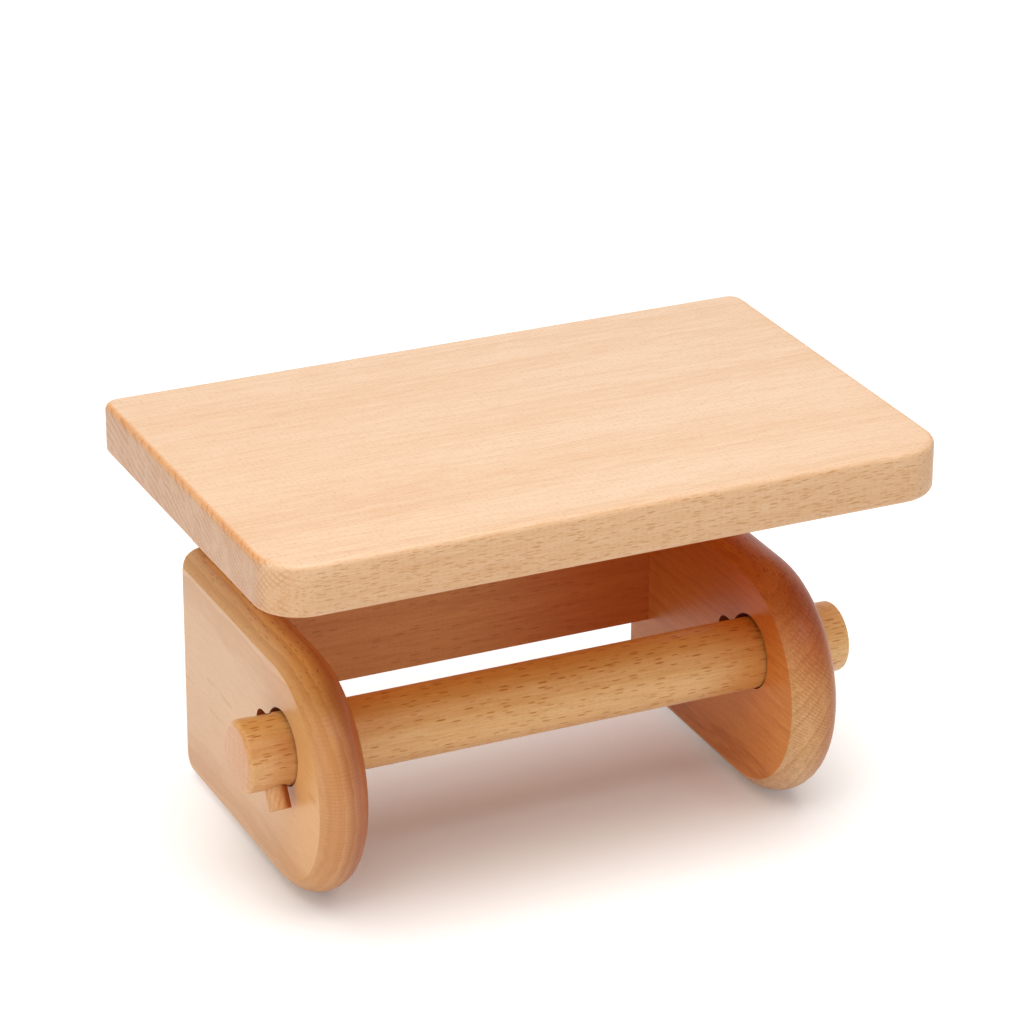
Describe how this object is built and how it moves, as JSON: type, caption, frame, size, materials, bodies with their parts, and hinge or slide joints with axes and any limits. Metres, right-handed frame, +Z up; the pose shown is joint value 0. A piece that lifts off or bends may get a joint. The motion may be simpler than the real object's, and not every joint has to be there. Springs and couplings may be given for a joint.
{
  "type": "toilet paper holder with shelf",
  "caption": "Wooden toilet paper holder: a round locking roller between two round-fronted cheeks, under a small rectangular shelf carried by a T-shaped back board.",
  "frame": {"origin": "under the middle of the shelf, on the plane that the two cheeks stand on", "axes": "+X along the roller and the shelf's length, +Y back to the wall, +Z up"},
  "size_m": [0.19, 0.12, 0.115],
  "materials": {
    "shelf_beech": "pale beech, satin oil or lacquer",
    "cheek_beech": "beech, satin oil or lacquer",
    "board_beech": "beech, satin oil or lacquer",
    "roller_beech": "turned beech, satin oil or lacquer",
    "peg_beech": "turned beech, plain",
    "dowel_beech": "fluted beech pin, raw"
  },
  "bodies": {
    "frame": {"shelf": "shelf_beech", "back_board": "board_beech", "left_cheek": "cheek_beech", "right_cheek": "cheek_beech", "shelf_dowel_1": "dowel_beech", "shelf_dowel_2": "dowel_beech", "shelf_dowel_3": "dowel_beech", "shelf_dowel_4": "dowel_beech", "left_cheek_dowel_lower": "dowel_beech", "left_cheek_dowel_upper": "dowel_beech", "right_cheek_dowel_lower": "dowel_beech", "right_cheek_dowel_upper": "dowel_beech"},
    "roller": {"roller": "roller_beech", "left_peg": "peg_beech", "right_peg": "peg_beech"}
  },
  "joints": [
    {"name": "roller_spin", "type": "hinge", "parent": "frame", "child": "roller", "pos_m": [0, -0.0151, 0.04215], "axis": [1, 0, 0], "continuous": true}
  ]
}
